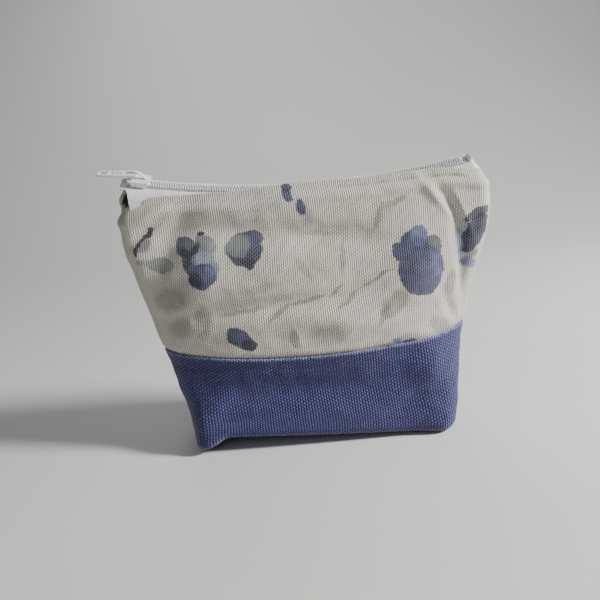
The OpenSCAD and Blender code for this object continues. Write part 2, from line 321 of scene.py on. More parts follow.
def cloth_mesh(name, rows, uvs, corners, thickness, material):
    """A sheet of cloth on a grid of points in mm, its faces wound through corners."""
    pts = np.array(rows)
    n, m = pts.shape[:2]
    idx = np.arange(n * m).reshape(n, m)
    around = (idx[:-1, :-1], idx[:-1, 1:], idx[1:, 1:], idx[1:, :-1])
    quads = np.stack([around[i] for i in corners], -1).reshape(-1, 4)
    mesh = bpy.data.meshes.new(name)
    mesh.from_pydata((pts.reshape(-1, 3) * MM).tolist(), [], quads.tolist())
    uv = mesh.uv_layers.new(name="cloth")
    loops = np.zeros(len(mesh.loops), int)
    mesh.loops.foreach_get("vertex_index", loops)
    flat = np.array(uvs).reshape(-1, 2) * MM
    uv.data.foreach_set("uv", flat[loops].ravel())
    mesh.shade_smooth()
    obj = add_object(name, mesh, material)
    modify(obj, "SOLIDIFY", thickness=thickness, offset=-1, use_even_offset=False)
    for v in obj.data.vertices:
        v.co.z = max(v.co.z, 0)
    return obj


def cloth_piece(name, rows, uvs, thickness, material, side):
    """A sheet of the pouch's front or back half, from rows whose y runs outwards."""
    pts = np.array(rows)
    pts[:, :, 1] *= side
    corners = (0, 1, 2, 3) if side == FRONT else (3, 2, 1, 0)
    return cloth_mesh(name, pts, uvs, corners, thickness, material)


def finish_piece(obj, body, slot, *nodes):
    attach(obj, body)
    if nodes:
        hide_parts(*nodes)


TABLES = {}


def section_at(z, inset):
    """The section's columns, each taken at its own height z."""
    key = (len(z), inset)
    if key not in TABLES:
        TABLES[key] = np.stack([np.stack(section(float(h), len(z), inset)) for h in range(113)])
    table, j = TABLES[key], np.arange(len(z))
    low = np.clip(np.floor(z).astype(int), 0, 111)
    f = z - low
    return table[low, :, j].T * (1 - f) + table[low + 1, :, j].T * f


def wall_rows(z0_of, z1_of, steps, columns, inset=0.0):
    """Rows of a wall between two edges, with their normals and arc lengths, as arrays."""
    out = []
    for t in np.linspace(0, 1, steps):
        z = np.full(columns, 40 + 60 * t)
        for _ in range(4):
            x = section_at(z, inset)[0]
            z = z0_of(x) + (z1_of(x) - z0_of(x)) * t
        x, y, nx, ny, arc, half = section_at(z, inset)
        out.append(np.stack([x, y, z, nx, ny, arc, half]))
    return np.stack(out, 1)


def on_cloth(side, x, z, inset):
    """A point of the wall at x and z, inset from the outer face, with its relief."""
    px, *rest = section(z, 200, inset)
    y, nx, ny, arc, half = (np.array([[np.interp(x, px, v)]]) for v in rest)
    across = np.array([[np.interp(x, px, px)]])
    d = float(relief(across, np.array([[z]]), nx, arc, half, side)[0, 0])
    return (x + d * float(nx[0, 0]), side * float(y[0, 0] + d * ny[0, 0]), z)


def add_relief(grid, side):
    x, y, z, nx, ny, arc, half = grid
    d = relief(x, z, nx, arc, half, side)
    return np.stack([x + d * nx, np.maximum(y + d * ny, MEETING), z])


def push(pts, nx, ny, out):
    """Moves points along their outward normals."""
    pts[0] += nx * out
    pts[1] = np.maximum(pts[1] + ny * out, MEETING)


def strips(pts):
    """The rows of a grid that holds x, y and z apart."""
    return list(np.moveaxis(pts, 0, -1))


def turn_edge(rows, uvs, nx, ny, r, degrees, count, drop, inward):
    """Turns the last row over at radius r, and runs it down inside by count rows."""
    last, (arc, v) = rows[-1], uvs[-1].T
    for a in np.radians(degrees):
        p = last.T.copy()
        push(p, nx, ny, -(r * (1 - math.cos(a))))
        p[2] += r * math.sin(a)
        rows.append(p.T)
        uvs.append(np.stack([arc, v + r * a], 1))
    for k in range(1, count + 1):
        p = rows[-1].T.copy()
        push(p, nx, ny, -inward)
        p[2] -= drop
        rows.append(p.T)
        uvs.append(np.stack([arc, v + r * 3 + drop * k], 1))


def walls(side):
    """The printed canvas: tucked behind the band below, turned in along the zip above."""
    grid = wall_rows(band_top, lambda x: edge_height(x, side), 118, WALL_COLUMNS)
    x, _, z, nx, ny, arc, _ = grid
    pts = add_relief(grid, side)
    top = edge_height(x, side) - z
    foot = z - band_top(x)
    # The edge sinks in to the zip's seam over a soft bulge, and the foot dives behind the band.
    bulge = 0.75 * hump(top - 5.0, 2.0) - 1.3 * hump(top - 0.1, 1.9)
    deep = (0.6 + 0.7 * ease((x - 4) / 16)) * ease((66 - np.abs(x)) / 6)
    bulge -= deep * hump(top - 2.5, 0.85) * (1 - nx**2)
    dive = -(1.05 - 0.25 * nx**2) * hump(foot, 1.5)
    push(pts, nx, ny, bulge + dive)
    rows, uvs = strips(pts), strips(np.stack([arc, z]))
    step = 0.8
    turn_edge(rows, uvs, nx[-1], ny[-1], sizes().edge_roll / MM, range(30, 181, 30), 4, step, 0.0)
    # The lower edge goes on down behind the band.
    for k in range(1, 4):
        p = rows[0].copy()
        p[:, 0] *= 0.996
        p[:, 2] -= step
        rows.insert(0, p)
        uvs.insert(0, np.stack([arc[0], z[0] - step * k], 1))
    return rows, uvs


def floor_rows(columns, r, inset, flat_steps, turn_steps, bow, fold_v):
    """The floor from its middle outwards, and the fold of radius r that lifts it to the wall."""
    rows, uvs = [], []
    x, y, nx, ny, arc, _ = section(0.0, columns)
    for f in np.linspace(0.03, 1, flat_steps)[:-1]:
        rows.append(np.stack([(x - (inset + r) * nx) * (0.6 + 0.4 * f),
                              np.maximum((y - (inset + r) * ny) * f, MEETING),
                              np.full(columns, inset + bow * (1 - f) ** 2)], 1))
        uvs.append(np.stack([arc, np.full(columns, -fold_v - (1 - f) * 18)], 1))
    for t in np.radians(np.linspace(0, 90, turn_steps))[:-1]:
        z = r * (1 - math.cos(t))
        x, y, _, _, arc, _ = section(z, columns, inset + r * (1 - math.sin(t)))
        rows.append(np.stack([x, np.maximum(y, MEETING), np.full(columns, z + inset)], 1))
        uvs.append(np.stack([arc, np.full(columns, -r * (math.pi / 2 - t))], 1))
    return rows, uvs


def band_rows(side):
    """The band: floor, fold, wall, and a folded edge that stands proud above."""
    rows, uvs = floor_rows(WALL_COLUMNS, FLOOR_R, 0.0, 16, 12, 0.35, FLOOR_R * 1.57)
    wall = wall_rows(lambda x: FLOOR_R + 0 * x, band_top, 56, WALL_COLUMNS)
    pts = add_relief(wall, side)
    x, y, z, nx, ny, arc, _ = wall
    top = band_top(x) - z
    proud = 0.32 * (1 - nx**2) * hump(top, 1.5)
    proud = proud - 0.16 * (1 - nx**2) * hump(top - 4.2, 1.3)
    low = np.clip((z - FLOOR_R) / 6, 0, 1)
    base = np.stack([x, y, z])
    pts = base + (pts - base) * (0.25 + 0.75 * low)
    push(pts, nx, ny, proud)
    rows += strips(pts)
    # The weave is measured so that the folded edge follows it.
    reach = (z - FLOOR_R) * (BAND_Z - FLOOR_R) / (band_top(x) - FLOOR_R)
    uvs += strips(np.stack([arc, reach]))
    turn_edge(rows, uvs, nx[-1], ny[-1], 0.45, (25, 50, 75, 100, 125, 150, 180), 3, 1.0, 0.25)
    return settle(rows, side), uvs


def inner_rows(side, inset, drop):
    """A plain inner layer from the floor up to drop below the wall's edge."""
    r = FLOOR_R - inset * 0.4
    rows, uvs = floor_rows(INNER_COLUMNS, r, inset, 8, 6, 0.0, 8)
    z0 = r + inset
    wall = wall_rows(lambda x: z0 + 0 * x, lambda x: edge_height(x, side) - drop, 76, INNER_COLUMNS, inset)
    rows += strips(add_relief(wall, side))
    uvs += strips(np.stack([wall[5], wall[2]]))
    return settle(rows, side), uvs


# ---------------------------------------------------------------- materials


class Nodes:
    """Short calls that build one material's nodes."""

    def __init__(self, name):
        self.mat = bpy.data.materials.new(name)
        self.mat.use_nodes = True
        self.tree = self.mat.node_tree
        self.tree.nodes.clear()
        self.out = self.tree.nodes.new("ShaderNodeOutputMaterial")
        self.bsdf = self.tree.nodes.new("ShaderNodeBsdfPrincipled")
        self.tree.links.new(self.bsdf.outputs[0], self.out.inputs[0])

    def put(self, socket, value):
        if isinstance(value, bpy.types.NodeSocket):
            self.tree.links.new(value, socket)
        elif isinstance(value, (tuple, list)) and socket.type == "RGBA" and len(value) == 3:
            socket.default_value = (*value, 1)
        else:
            socket.default_value = value

    def math(self, op, a, b=0.0):
        n = self.tree.nodes.new("ShaderNodeMath")
        n.operation = op
        self.put(n.inputs[0], a)
        self.put(n.inputs[1], b)
        return n.outputs[0]

    def times(self, a, b):
        return self.math("MULTIPLY", a, b)

    def vec(self, op, a, b=(0, 0, 0), out=0):
        n = self.tree.nodes.new("ShaderNodeVectorMath")
        n.operation = op
        self.put(n.inputs[0], a)
        if op == "SCALE":
            self.put(n.inputs["Scale"], b)
        else:
            self.put(n.inputs[1], b)
        return n.outputs[out]

    def xyz(self, v):
        n = self.tree.nodes.new("ShaderNodeSeparateXYZ")
        self.put(n.inputs[0], v)
        return n.outputs[0], n.outputs[1], n.outputs[2]

    def join(self, x, y, z=0.0):
        n = self.tree.nodes.new("ShaderNodeCombineXYZ")
        for i, v in enumerate((x, y, z)):
            self.put(n.inputs[i], v)
        return n.outputs[0]

    def uv(self):
        n = self.tree.nodes.new("ShaderNodeUVMap")
        n.uv_map = "cloth"
        return n.outputs[0]

    def place(self):
        return self.tree.nodes.new("ShaderNodeTexCoord").outputs["Object"]

    def noise(self, v, scale, detail=2.0, rough=0.5, colour=False):
        n = self.tree.nodes.new("ShaderNodeTexNoise")
        self.put(n.inputs["Vector"], v)
        n.inputs["Scale"].default_value = scale
        n.inputs["Detail"].default_value = detail
        n.inputs["Roughness"].default_value = rough
        return n.outputs["Color" if colour else "Fac"]

    def remap(self, v, a, b, c=0.0, d=1.0, smooth=True):
        n = self.tree.nodes.new("ShaderNodeMapRange")
        n.interpolation_type = "SMOOTHSTEP" if smooth else "LINEAR"
        for i, w in enumerate((v, a, b, c, d)):
            self.put(n.inputs[i], w)
        return n.outputs[0]

    def mix(self, fac, a, b, mode="MIX"):
        n = self.tree.nodes.new("ShaderNodeMix")
        n.data_type, n.blend_type = "RGBA", mode
        self.put(n.inputs[0], fac)
        self.put(n.inputs[6], a)
        self.put(n.inputs[7], b)
        return n.outputs[2]

    def bump(self, height, distance, strength):
        n = self.tree.nodes.new("ShaderNodeBump")
        n.inputs["Strength"].default_value = strength
        n.inputs["Distance"].default_value = distance
        self.put(n.inputs["Height"], height)
        return n.outputs[0]

    def surface(self, **looks):
        """Sets the shader's inputs, with _ for each space, and gives back the material."""
        for name, value in looks.items():
            self.put(self.bsdf.inputs[name.replace("_", " ")], value)
        return self.mat


def shades(tint, *factors):
    """The tint made darker or lighter by each factor."""
    return [tuple(min(1, v * f) for v in tint) for f in factors]


# The print, with one dab of painted shade, as dabs in the order they are laid: place (x, z) and
# half sizes in mm on the front of the pouch, turn, colour, strength, softness of the edge.
DABS = (
    # Faint leaves and stems, and one dab of painted shade.
    (31.8, 55.3, 8.2, 4.4, 35, "taupe", 0.62, 0.35), (27.5, 51.5, 5.5, 1.6, 62, "taupe", 0.5, 0.4),
    (31, 90, 5.5, 3.8, 45, "taupe", 0.28, 0.6), (28, 88.6, 7.0, 1.5, 72, "taupe", 0.58, 0.4),
    (34.7, 93.7, 6, 1.5, 20, "taupe", 0.55, 0.4), (4.9, 75.3, 9, 8.5, 0, "taupe", 0.24, 0.5),
    (4.7, 84, 8, 1.3, -8, "taupe", 0.45, 0.5), (12.7, 73.7, 8, 1.4, 84, "taupe", 0.5, 0.5),
    (-3, 71.8, 6.5, 1.7, -58, "taupe", 0.42, 0.5), (-13.5, 55.3, 6.5, 1.0, 38, "taupe", 0.68, 0.4),
    (-2, 59.1, 9, 0.95, 10, "taupe", 0.68, 0.4), (8.9, 61.9, 5, 1.0, 42, "taupe", 0.65, 0.4),
    (14, 58.5, 7, 0.95, 42, "taupe", 0.6, 0.4), (25.7, 65.8, 8.5, 1.0, 26, "taupe", 0.68, 0.4),
    (-27.5, 56.3, 12, 1.1, 10, "taupe", 0.55, 0.5), (-54.8, 62.3, 9, 6.2, 10, "taupe", 0.62, 0.5),
    (-43.3, 53.4, 8, 4.2, 82, "taupe", 0.6, 0.5), (-53, 50.5, 6.5, 5, 20, "taupe", 0.42, 0.6),
    # The first dab on the next line is painted shade: the fold's shadow under the left of the top edge.
    (-35.4, 93.6, 13, 4, -14, "taupe", 0.30, 0.7), (56, 60.6, 6, 3.4, 74, "taupe", 0.6, 0.4),
    (50.9, 43.9, 6.4, 3.6, -28, "leaf", 0.6, 0.4), (5.7, 45.4, 9.5, 5.6, 18, "taupe", 0.40, 0.5),
    (-8.4, 45, 4.8, 2.2, 102, "taupe", 0.75, 0.4), (-18, 66, 9, 2.2, 12, "taupe", 0.32, 0.7),
    (-57.9, 76.1, 5.8, 3.4, -6, "leaf", 0.9, 0.25), (-64, 77.5, 4.8, 1.7, 0, "leaf", 0.6, 0.5),
    (-63.4, 84.4, 3.9, 2.4, 40, "leaf", 0.9, 0.35), (35.5, 40.6, 6.5, 2.8, 12, "wash", 0.8, 0.6),
    (37.5, 39.4, 3.6, 1.5, 10, "indigo", 0.85, 0.4), (32, 40, 2.2, 1.3, 0, "blue", 0.8, 0.4),
    (-12, 97, 4.5, 3.5, 60, "wash", 0.42, 0.9), (0.4, 89, 2.6, 4.5, 0, "wash", 0.6, 0.9),
    # A curved stem with a bud.
    (-67.0, 82.0, 1.0, 2.3, -8, "deep", 0.95, 0.3), (-65.8, 84.9, 1.0, 2.0, -32, "deep", 0.95, 0.3),
    (-63.4, 87.0, 2.3, 0.9, 24, "deep", 0.95, 0.3), (-60.9, 88.9, 1.25, 2.1, -18, "deep", 0.97, 0.25),
    # The ring with its pale middle.
    (-25.0, 80.2, 7.4, 6.5, 0, "deep", 0.96, 0.12), (-20.6, 83.8, 3.5, 3.4, 0, "indigo", 0.9, 0.15),
    (-23.4, 75.2, 2.9, 2.4, 0, "deep", 0.96, 0.15), (-27.4, 81.6, 5.1, 4.5, 12, "leaf", 0.95, 0.22),
    # The drooping flower beside it.
    (-47.6, 82.4, 3.9, 4.4, 20, "indigo", 0.9, 0.15), (-46.4, 76.2, 7.2, 2.6, -66, "deep", 0.92, 0.2),
    (-40.4, 82.6, 4.8, 4.6, 0, "leaf", 0.95, 0.18),
    (-45.3, 79.2, 1.6, 6.6, -28, "deep", 0.97, 0.3), (-41.4, 87.0, 1.9, 1.0, 20, "deep", 0.97, 0.3),
    (-41.0, 77.8, 5.0, 3.4, 0, "wash", 0.9, 0.3), (-41.6, 71.4, 5.8, 5.2, 20, "indigo", 0.95, 0.14),
    (-38.0, 73.8, 3.2, 3.0, 0, "blue", 0.7, 0.4), (-44.2, 70.0, 3.0, 3.2, 0, "deep", 0.9, 0.3),
    # The big closed flower.
    (43.2, 67.6, 9.7, 10.6, 6, "indigo", 0.97, 0.06), (35.8, 75.2, 3.8, 3.6, 0, "indigo", 0.97, 0.1),
    (39.6, 78.6, 3.6, 3.6, 0, "indigo", 0.97, 0.1), (43.3, 80.6, 3.7, 4.0, 0, "blue", 0.95, 0.1),
    (42.6, 75.6, 5.6, 5.2, 0, "indigo", 0.7, 0.5), (48.6, 76.2, 3.9, 4.4, 0, "deep", 0.85, 0.12),
    (49.4, 69.0, 3.0, 7.5, 12, "blue", 0.7, 0.6), (38.6, 67.2, 4.2, 6.4, 0, "deep", 0.35, 0.7),
    # The flower that runs over the corner.
    (64.0, 78.5, 10.5, 6.2, 62, "wash", 0.75, 0.5), (68.0, 87.0, 6.4, 2.2, 24, "deep", 0.92, 0.2),
    (67.0, 79.6, 8.8, 4.4, 58, "deep", 0.97, 0.08), (66.0, 71.0, 3.4, 1.9, 12, "leaf", 0.95, 0.2),
    (65.0, 67.4, 5.5, 2.6, -24, "blue", 0.85, 0.4), (60.6, 77.0, 1.6, 6, 8, "wash", 0.7, 0.5),
    # The small flower above the band and the twin buds at the top.
    (-29.8, 46.4, 5.9, 4.0, -34, "indigo", 0.95, 0.12), (-26.2, 43.4, 3.3, 2.4, -12, "deep", 0.95, 0.15),
    (-6.6, 102.3, 2.2, 1.9, 0, "indigo", 0.95, 0.2), (-7.0, 99.4, 2.2, 3.0, 4, "indigo", 0.95, 0.2),
    (-1.9, 94.6, 2.1, 3.6, 4, "indigo", 0.96, 0.2),
)


def arc_at(x, z):
    """How far along the cloth the front's point at x lies from its middle."""
    px, _, _, _, arc, _ = section(z, 200)
    return float(np.interp(x, px, arc))


def weave(m, uv, pitch, pick):
    """Ribs up the cloth crossed by picks that step over every other rib."""
    u, v, _ = m.xyz(uv)
    drift = m.noise(uv, 90, 1)
    u = m.math("ADD", u, m.times(m.math("SUBTRACT", drift, 0.5), pitch * 0.9))
    ribs = m.math("DIVIDE", u, pitch)
    rib = m.math("ABSOLUTE", m.math("SINE", m.times(ribs, math.pi)))
    step = m.times(m.math("FLOORED_MODULO", m.math("FLOOR", ribs), 2.0), math.pi)
    picks = m.math("ADD", m.times(v, 2 * math.pi / pick), step)
    over = m.math("MULTIPLY_ADD", m.math("SINE", picks), 0.5)
    over.node.inputs[2].default_value = 0.5
    return rib, over


def canvas_material(name, shift, flip):
    m, c = Nodes(name), colours()
    uv = m.uv()
    rib, over = weave(m, uv, sizes().rib_pitch, 0.00135)
    height = m.times(m.math("POWER", rib, 0.8), m.remap(over, 0, 1, 0.45, 1.0, False))
    slub = m.noise(m.vec("MULTIPLY", uv, (1500, 120, 1)), 1.0, 1)
    mottle = m.noise(uv, 45, 3, 0.6)
    base = m.mix(m.remap(mottle, 0.3, 0.7), *shades(c.canvas, 0.90, 1.07))
    base = m.mix(m.remap(slub, 0.35, 0.8, 0.0, 0.5), base, *shades(c.canvas, 1.16))
    # The print is drawn on the cloth through a small wobble, like dye that ran a little.
    middle = (0.5, 0.5, 0.5)
    wobble = m.vec("SUBTRACT", m.noise(uv, 260, 3, 0.6, True), middle)
    place = m.vec("ADD", m.vec("MULTIPLY", uv, (flip, 1, 0)), (shift * MM, 0, 0))
    place = m.vec("ADD", place, m.vec("SCALE", wobble, 0.0030))
    fray = m.vec("SUBTRACT", m.noise(uv, 1500, 1, 0.5, True), middle)
    place = m.vec("ADD", place, m.vec("SCALE", fray, 0.0008))
    blot = m.noise(place, 210, 3, 0.65)
    pool = m.remap(m.noise(place, 330, 2, 0.6), 0.35, 0.7)
    paint = base
    for x, z, long, short, turn, ink, strength, soft in DABS:
        spot = m.tree.nodes.new("ShaderNodeMapping")
        spot.vector_type = "TEXTURE"
        m.put(spot.inputs["Vector"], place)
        spot.inputs["Location"].default_value = (arc_at(x, z) * MM, z * MM, 0)
        spot.inputs["Rotation"].default_value = (0, 0, math.radians(turn))
        spot.inputs["Scale"].default_value = (long * MM, short * MM, 1)
        away = m.vec("LENGTH", spot.outputs[0], out=1)
        mask = m.remap(away, 1 - soft, 1 + 0.25 * soft, strength, 0.0)
        tint = tuple(getattr(c, ink))
        # Pale inks are blotted and dark ones pool.
        if ink in ("taupe", "leaf", "wash"):
            mask = m.times(mask, m.remap(blot, 0.3, 0.6, 0.75, 1.0))
        else:
            tint = m.mix(pool, tint, tuple(min(1, v * 1.7 + 0.012) for v in tint))
        paint = m.mix(mask, paint, tint)
    # Painted shade: the colour is darkened in the hollows between the yarns.
    shade = m.remap(height, 0.15, 0.85, 0.50, 1.0)
    paint = m.mix(1.0, paint, m.join(shade, shade, shade), "MULTIPLY")
    bare = m.times(m.math("SUBTRACT", 1.0, over), 0.13)
    paint = m.mix(bare, paint, tuple(c.canvas))
    fuzz = m.math("ADD", height, m.times(m.noise(uv, 3200, 2), 0.25))
    return m.surface(Base_Color=paint, Roughness=m.remap(height, 0, 1, 0.95, 0.82), Sheen_Weight=0.25,
                     Sheen_Roughness=0.5, Specular_IOR_Level=0.25, Normal=m.bump(fuzz, 0.00030, 0.9))


def band_material():
    m, c = Nodes("Ribbed band cloth"), colours()
    uv = m.uv()
    rib, over = weave(m, uv, sizes().band_pitch, 0.0013)
    height = m.times(m.math("POWER", rib, 0.7), m.remap(over, 0, 1, 0.5, 1.0, False))
    yarn = m.noise(m.vec("MULTIPLY", uv, (400, 900, 1)), 1.0, 2)
    dots = m.times(m.remap(over, 0.55, 0.9), m.remap(rib, 0.35, 0.9))
    dots = m.times(dots, m.remap(yarn, 0.35, 0.6, 0.25, 1.0))
    worn = m.remap(m.noise(uv, 60, 3, 0.6), 0.3, 0.75, 0.0, 0.35)
    base = m.mix(worn, *shades(c.band, 1, 1.35))
    base = m.mix(dots, base, tuple(c.band_weft))
    # Painted highlight: a paler line along the top of the folded edge, broken up by the yarn.
    _, v, _ = m.xyz(uv)
    highlight_line = (BAND_Z - FLOOR_R + 0.4) * MM
    fold = m.remap(m.math("ABSOLUTE", m.math("SUBTRACT", v, highlight_line)), 0.0002, 0.0013, 0.55, 0.0)
    base = m.mix(m.times(fold, m.remap(yarn, 0.3, 0.6, 0.4, 1.0)), base, (0.28, 0.31, 0.60))
    fuzz = m.math("ADD", height, m.times(m.noise(uv, 2600, 2), 0.2))
    return m.surface(Base_Color=base, Roughness=m.remap(height, 0, 1, 0.92, 0.7), Sheen_Weight=0.35,
                     Sheen_Roughness=0.4, Specular_IOR_Level=0.3, Normal=m.bump(fuzz, 0.00045, 0.95))


def fine_cloth(name, tint, pitch, depth):
    m = Nodes(name)
    uv = m.uv()
    rib, over = weave(m, uv, pitch, pitch * 1.1)
    height = m.times(rib, m.remap(over, 0, 1, 0.55, 1.0, False))
    tone = m.remap(m.noise(uv, 240, 3, 0.6), 0.3, 0.7)
    base = m.mix(tone, *shades(tint, 0.93, 1.05))
    shade = m.remap(height, 0.1, 0.8, 0.84, 1.0)
    base = m.mix(1.0, base, m.join(shade, shade, shade), "MULTIPLY")
    return m.surface(Base_Color=base, Roughness=m.remap(height, 0, 1, 0.9, 0.72), Sheen_Weight=0.2,
                     Specular_IOR_Level=0.3, Normal=m.bump(height, depth, 0.8))


def felt_material():
    m = Nodes("Fleece felt")
    f = m.noise(m.place(), 2200, 4, 0.7)
    base = m.mix(m.remap(f, 0.3, 0.7), (0.66, 0.66, 0.64), (0.8, 0.8, 0.78))
    return m.surface(Base_Color=base, Roughness=0.95, Normal=m.bump(f, 0.0003, 0.8))


def nylon_material():
    m = Nodes("White nylon coil")
    f = m.noise(m.place(), 1500, 2)
    return m.surface(Base_Color=m.mix(f, *shades(colours().zip, 0.94, 1.04)),
                     Roughness=m.remap(f, 0.3, 0.7, 0.34, 0.48), Subsurface_Weight=0.12,
                     Subsurface_Radius=(0.0006, 0.0006, 0.0006))


def thread_material():
    m = Nodes("Sewing thread")
    at = m.place()
    x, y, z = m.xyz(at)
    twist = m.math("SINE", m.times(m.math("ADD", x, m.math("ADD", y, z)), 2 * math.pi / 0.00045))
    f = m.noise(at, 2600, 2)
    return m.surface(Base_Color=m.mix(m.remap(twist, -1, 1), *shades(colours().zip, 0.80, 0.98)),
                     Roughness=m.remap(f, 0.3, 0.7, 0.55, 0.75), Normal=m.bump(twist, 0.00006, 0.7))


def enamel_material():
    m = Nodes("White enamel on zinc")
    at = m.place()
    f = m.noise(at, 900, 3)
    orange = m.noise(at, 3500, 2)
    geo = m.tree.nodes.new("ShaderNodeNewGeometry")
    base = m.mix(m.remap(f, 0.35, 0.7), *shades(colours().enamel, 0.95, 1))
    edge = m.remap(geo.outputs["Pointiness"], 0.56, 0.66, 0.0, 0.35)
    chips = m.times(edge, m.remap(m.noise(at, 2600, 3, 0.7), 0.55, 0.7))
    return m.surface(Base_Color=m.mix(chips, base, (0.42, 0.42, 0.43)), Coat_Weight=0.3,
                     Roughness=m.remap(f, 0.3, 0.7, 0.24, 0.36), Normal=m.bump(orange, 0.00002, 0.4))


def aluminium_material():
    m = Nodes("Satin aluminium")
    f = m.noise(m.vec("MULTIPLY", m.place(), (600, 4000, 4000)), 1.0, 2)
    return m.surface(Base_Color=m.mix(f, (0.78, 0.78, 0.78), (0.88, 0.88, 0.88)), Metallic=1.0,
                     Roughness=m.remap(f, 0.3, 0.7, 0.48, 0.6))


def made(name, build, *args):
    """The material of that name, built once."""
    return bpy.data.materials.get(name) or build(*args)


# ---------------------------------------------------------------- zip


def rolled(s, h):
    return (s * math.cos(ZIP_ROLL) - h * math.sin(ZIP_ROLL),
            s * math.sin(ZIP_ROLL) + h * math.cos(ZIP_ROLL))


def on_arc(x, back, up):
    """A point of the zip: x along it at the tape, back and up from the zip's centre line."""
    a = math.asin(max(-1, min(1, x / ZIP_R)))
    r = ZIP_R - up
    return (r * math.sin(a), back, ZIP_Z + ZIP_R - r * math.cos(a))


def zip_place(x):
    """The matrix, in metres, that puts what is drawn at the origin on the zip at x."""
    a = math.asin(x / ZIP_R)
    return (Matrix.Translation((0, 0, (ZIP_Z + ZIP_R) * MM)) @ Matrix.Rotation(-a, 4, "Y")
            @ Matrix.Translation((0, 0, -ZIP_R * MM)) @ Matrix.Rotation(ZIP_ROLL, 4, "X"))


def smooth_path(points, count):
    """Evenly spaced points along a rounded version of a polyline."""
    p = np.array(points, float)
    for _ in range(3):
        q = [p[0]]
        for a, b in zip(p[:-1], p[1:]):
            q += [a * 0.75 + b * 0.25, a * 0.25 + b * 0.75]
        q.append(p[-1])
        p = np.array(q)
    d = np.concatenate([[0], np.cumsum(np.linalg.norm(np.diff(p, axis=0), axis=1))])
    s = np.linspace(0, d[-1], count)
    return np.stack([np.interp(s, d, p[:, i]) for i in range(2)], 1), s


def tape(side, word):
    """The zip's tape: level beside the coil, then down between the wall and its lining."""
    if side == FRONT:
        path = [rolled(-0.35, 0), rolled(-2.2, 0), rolled(-3.9, -0.1)]
        path += [(-4.9, -3.6), (-6.2, -6.0), (-7.2, -11.6)]
    else:
        path = [rolled(0.35, 0), rolled(2.2, 0), rolled(4.5, -0.1)]
        path += [(5.6, -1.2), (6.1, -5.6), (7.2, -11.6)]
    prof, s = smooth_path(path, 34)
    rows, uvs = [], []
    end, turned = 70.6, 66
    xs = np.concatenate([np.linspace(-end, -turned, 20)[:-1], np.linspace(-turned, turned, 160),
                         np.linspace(turned, end, 20)[1:]])
    for x in xs:
        # The seam allowance stops short of the ends, and the last bit on the right turns down.
        left = 4.2 if x < 0 else 5.4
        reach = 1 - (1 - left / s[-1]) * float(ease((abs(x) - 64.5) / 4))
        drop = 3.4 * max(0, (x - 67.4) / 3) ** 1.6
        bow = 0.12 * math.sin(x * 0.31 + side) + 0.1 * math.sin(x * 0.13)
        back, up = (np.interp(s * reach, s, prof[:, i]) for i in range(2))
        if side == FRONT:
            # The allowance gives way to the fold by the right-hand corner.
            back = back + 1.1 * math.exp(-(((x - 57.5) / 5) ** 2)) * np.clip((-back - 4.5) / 2, 0, 1)
        up = up + bow * np.minimum(1, np.arange(len(up)) / 8) - drop
        rows.append([on_arc(x, b, u) for b, u in zip(back, up)])
        uvs.append([(x, v * reach) for v in s])
    corners = (1, 2, 3, 0) if side == FRONT else (0, 3, 2, 1)
    white = made("Zip tape", fine_cloth, "Zip tape", tuple(colours().zip), 0.0006, 0.00012)
    return cloth_mesh(f"{word}_tape", rows, uvs, corners, TAPE_T * MM, white)


def tube(name, paths, radius, material):
    """Round threads along lists of points in mm, as one mesh with closed ends."""
    verts, faces = [], []
    sides = 6
    for path in paths:
        p = np.array(path, float)
        t = np.gradient(p, axis=0)
        t /= np.linalg.norm(t, axis=1)[:, None] + 1e-12
        ref = np.array([0.0, 0.0, 1.0]) if abs(t[0][2]) < 0.9 else np.array([1.0, 0.0, 0.0])
        start = len(verts)
        u = np.cross(ref, t[0])
        u /= np.linalg.norm(u)
        for i in range(len(p)):
            u = u - t[i] * (u @ t[i])
            u /= np.linalg.norm(u)
            v = np.cross(t[i], u)
            for k in range(sides):
                a = 2 * math.pi * k / sides
                verts.append(tuple((p[i] + radius * (u * math.cos(a) + v * math.sin(a))) * MM))
        for i in range(len(p) - 1):
            for k in range(sides):
                a, b = start + i * sides + k, start + i * sides + (k + 1) % sides
                faces.append((a, b, b + sides, a + sides))
        faces.append(tuple(start + k for k in range(sides))[::-1])
        end = start + (len(p) - 1) * sides
        faces.append(tuple(end + k for k in range(sides)))
    mesh = bpy.data.meshes.new(name)
    mesh.from_pydata(verts, [], faces)
    mesh.shade_smooth()
    return add_object(name, mesh, material)


def coil(side, word):
    """A monofilament spiral: each turn wraps from the tape's edge to its head at the middle."""
    pitch = sizes().coil_pitch / MM
    turns = int((CHAIN_END * 2 - 1) / pitch)
    wire = 0.24
    path = []
    shift = 0 if side == FRONT else 0.5
    per = 16
    inner, outer = 0.36, 2.02
    for i in range(turns * per + 1):
        t = i / per
        # The heads lie square across the zip, and each turn steps on underneath.
        x = -CHAIN_END + 0.5 + (int(t) + float(ease((t % 1 - 0.5) * 2)) + shift) * pitch
        a = 2 * math.pi * t
        mid, half = (inner + outer) / 2, (outer - inner) / 2
        c, sn = math.cos(a), math.sin(a)
        s = mid + half * (abs(c) ** 0.75) * (1 if c > 0 else -1)
        h = COIL_H / 2 + 0.02 + (COIL_H / 2 - wire) * (abs(sn) ** 0.8) * (1 if sn > 0 else -1)
        b, u = rolled(side * s, h)
        path.append(on_arc(x, b, u))
    return tube(f"{word}_coil", [path], wire, made("White nylon coil", nylon_material))


def sew(name, node, place, x0, x1, step, radius):
    """Short stitches end to end: place(x, rise) gives a point in mm, and rise peaks in each middle."""
    paths = []
    fill = 0.86
    count = int((x1 - x0) / step)
    for i in range(count):
        a = x0 + i * step
        pts = []
        for k in range(6):
            f = k / 5
            pts.append(np.array(place(a + step * fill * f, 0.12 * math.sin(math.pi * f))))
        paths.append(pts)
    line = tube(name, paths, radius, made("Sewing thread", thread_material))
    finish_piece(line, "pouch", "thread", node)


# ---------------------------------------------------------------- hard pieces


SMOOTH = math.radians(35)


